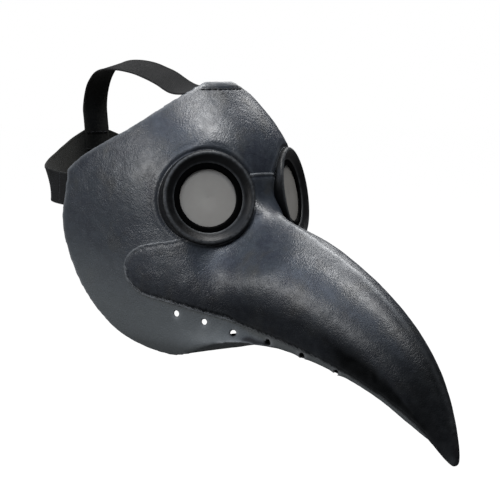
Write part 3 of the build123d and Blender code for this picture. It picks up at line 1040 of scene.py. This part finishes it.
def build_thread(face_tree):
    """Stitches along the forehead, and two rows where the top strap meets the back strap."""
    stitches = []
    for index in range(STITCH_COUNT):
        x = (index - (STITCH_COUNT - 1) / 2) * STITCH_PITCH + rng.uniform(-0.25, 0.25)
        place, normal, _, _ = face_tree.ray_cast(Vector((x, -150, FOREHEAD_SEAM_Z)), Vector((0, 1, 0)), 300)
        normal = np.array(normal)
        along = np.cross([0, 0, 1.0], normal)
        along = along / np.linalg.norm(along) + np.array([0, 0, rng.uniform(-0.06, 0.06)])
        stitches.append((np.array(place), along, normal, STITCH_LENGTH + rng.uniform(-0.3, 0.3)))
    thread_piece("forehead_thread", stitches, "shell", "forehead_stitching")

    stitches = []
    low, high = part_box("junction_stitching")
    strap_face = TOP_STRAP[-1][1] - STRAP_THICKNESS / 2
    for z in (low.z / MM + THREAD_RADIUS, high.z / MM - THREAD_RADIUS):
        for index in range(JUNCTION_STITCHES):
            x = (index - (JUNCTION_STITCHES - 1) / 2) * JUNCTION_PITCH + rng.uniform(-0.2, 0.2)
            along = (1, 0, rng.uniform(-0.05, 0.05))
            stitches.append(((x, strap_face, z), along, (0, -1, 0), JUNCTION_LENGTH))
    thread_piece("junction_thread", stitches, "rear_harness", "junction_stitching")


# ---------------------------------------------------------------- stage
def direction(azimuth, elevation):
    """Unit vector towards a viewpoint; azimuth 0 is in front of the face, 90 on the wearer's left."""
    a, e = math.radians(azimuth), math.radians(elevation)
    return Vector((math.sin(a) * math.cos(e), -math.cos(a) * math.cos(e), math.sin(e)))


def area_light(name, azimuth, elevation, distance, size, strength, tint=(1, 1, 1)):
    """Rectangular softbox aimed at the mask; strength is its radiance."""
    data = bpy.data.lights.new(name, "AREA")
    data.shape = "RECTANGLE"
    data.size, data.size_y = size
    data.energy = strength * math.pi * size[0] * size[1]
    data.color = tint
    lamp = bpy.data.objects.new(name, data)
    aim = direction(azimuth, elevation)
    lamp.location = AIM + aim * distance
    lamp.rotation_euler = aim.to_track_quat("Z", "Y").to_euler()
    bpy.context.scene.collection.objects.link(lamp)


AIM = Vector((0, -0.02, -0.04))  # of the lamps, in metres
VIEW_AZIMUTH = -44.0
VIEW_ELEVATION = 5.0
CAMERA_DISTANCE = 1.7        # metres, like the next two
CAMERA_RIGHT = 0.0004        # of the middle of the lenses
CAMERA_DROP = 0.0422
SENSOR_WIDTH = 36.0
LENS_LENGTH = 157.9


def build_camera():
    """Long lens, a little above the mask and on the wearer's right."""
    data = bpy.data.cameras.new("camera")
    data.sensor_width = SENSOR_WIDTH
    data.lens = LENS_LENGTH
    camera = bpy.data.objects.new("camera", data)
    bpy.context.scene.collection.objects.link(camera)
    towards = direction(VIEW_AZIMUTH, VIEW_ELEVATION)
    turn = math.radians(VIEW_AZIMUTH)
    right = Vector((math.cos(turn), math.sin(turn), 0))
    upward = towards.cross(right)
    camera.location = towards * CAMERA_DISTANCE + right * CAMERA_RIGHT - upward * CAMERA_DROP
    camera.rotation_euler = towards.to_track_quat("Z", "Y").to_euler()
    bpy.context.scene.camera = camera


def build_world():
    """White backdrop for the camera, dim studio for everything else."""
    world = bpy.data.worlds.new("studio")
    world.use_nodes = True
    nodes, links = world.node_tree.nodes, world.node_tree.links
    surface = nodes["Background"]
    rays = nodes.new("ShaderNodeLightPath")
    mix = nodes.new("ShaderNodeMix")
    mix.data_type = "RGBA"
    links.new(rays.outputs["Is Camera Ray"], mix.inputs[0])
    mix.inputs[6].default_value = (0.05, 0.052, 0.056, 1)
    mix.inputs[7].default_value = (1, 1, 1, 1)
    links.new(mix.outputs[2], surface.inputs["Color"])
    bpy.context.scene.world = world


def build_floor(level):
    """Pale floor just under the tip of the beak."""
    bpy.ops.mesh.primitive_plane_add(size=12, location=(0, 0, level))
    floor = bpy.context.object
    floor.name = "floor"
    floor.data.materials.append(floor_material())
    floor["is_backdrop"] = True


# ---------------------------------------------------------------- build
face = build_face()
beak = build_beak()
face_tree = bvh(face)
beak_tree = bvh(beak)
for side in EYES:
    build_eye(side, (face_tree, beak_tree))
build_straps()
build_thread(face_tree)

build_camera()
build_world()
build_floor(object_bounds()[0][2] - 0.0005)
area_light("overhead", 10, 76, 1.5, (0.55, 0.8), 15.0)
area_light("front_fill", -75, 55, 1.9, (1.4, 0.8), 2.4, (0.82, 0.93, 1.15))
area_light("rim", 113, 46, 1.5, (0.35, 1.2), 4.5)
area_light("side_fill", -104, 20, 1.6, (0.75, 0.75), 6.6)
bpy.context.scene.view_settings.view_transform = "Standard"
